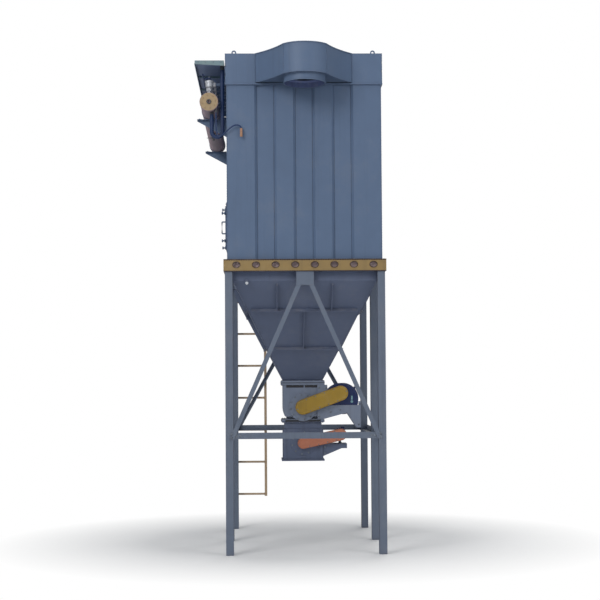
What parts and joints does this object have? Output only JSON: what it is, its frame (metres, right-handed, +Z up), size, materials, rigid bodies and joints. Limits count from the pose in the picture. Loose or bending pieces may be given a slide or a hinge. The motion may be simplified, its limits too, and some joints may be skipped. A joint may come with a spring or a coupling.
{
  "type": "baghouse dust filter",
  "caption": "Pulse-jet baghouse filter: folded sheet housing with outlet hood, air tank and valves, holed ring beam, ribbed hopper, legs, rotary valves with chain drives, and a ladder.",
  "frame": {"origin": "on the ground, in the middle of the six legs", "axes": "+Z up, the outlet hood and the front face towards -Y, the air tank towards -X"},
  "size_m": [1.921, 3.222, 5.0749],
  "materials": {
    "steel_paint": "weathered blue-grey paint",
    "band_paint": "worn ochre yellow paint",
    "guard_yellow": "worn yellow paint",
    "guard_orange": "faded orange paint",
    "rust_primer": "dull red-brown primer",
    "motor_blue": "navy enamel",
    "cast_metal": "bare machined iron",
    "cast_aluminium": "cast, satin",
    "canopy_paint": "teal-grey paint",
    "cable_rubber": "dark matt rubber",
    "ladder_paint": "faded tan paint"
  },
  "bodies": {
    "root": {"front_legs": "steel_paint", "middle_legs": "steel_paint", "rear_legs": "steel_paint", "foot_plates": "steel_paint", "end_tie_beams": "steel_paint", "side_tie_beams": "steel_paint", "front_hanger": "steel_paint", "front_braces": "steel_paint", "rear_hanger": "steel_paint", "rear_braces": "steel_paint", "ring_beam_ends": "band_paint", "ring_beam_sides": "band_paint", "ring_beam_lining": "rust_primer", "housing_front_wall": "steel_paint", "housing_rear_wall": "steel_paint", "housing_left_wall": "steel_paint", "housing_right_wall": "steel_paint", "head_flange_bars": "steel_paint", "head_front_wall": "steel_paint", "head_rear_wall": "steel_paint", "head_side_walls": "steel_paint", "roof_sheet": "steel_paint", "lifting_lugs": "steel_paint", "hood_wall": "steel_paint", "hood_roof": "steel_paint", "hood_floor": "steel_paint", "outlet_spigot": "steel_paint", "hopper_end_sheets": "steel_paint", "hopper_side_sheets": "steel_paint", "hopper_end_ribs": "steel_paint", "hopper_side_ribs": "steel_paint", "hopper_outlet_flange": "steel_paint", "upper_valve_body": "steel_paint", "upper_chain_guard": "guard_yellow", "upper_gear_motor": "motor_blue", "upper_motor_bracket": "steel_paint", "lower_valve_body": "steel_paint", "lower_valve_flange": "steel_paint", "lower_valve_rotor": "cast_metal", "lower_chain_guard": "guard_orange", "lower_gear_motor": "motor_blue", "lower_motor_bracket": "steel_paint", "air_tank": "rust_primer", "air_tank_caps": "band_paint", "pulse_valves": "cast_aluminium", "blow_pipes": "steel_paint", "tank_brackets": "steel_paint", "valve_canopy": "canopy_paint", "hanging_cable": "cable_rubber", "air_hose": "cable_rubber", "hose_coupling": "guard_orange", "line_fittings": "guard_orange", "inlet_pad": "steel_paint", "inlet_nozzle": "steel_paint", "inlet_flange": "steel_paint", "inspection_door": "steel_paint", "ladder_stiles": "ladder_paint", "ladder_rungs": "ladder_paint", "ladder_stays": "ladder_paint"}
  },
  "joints": []
}
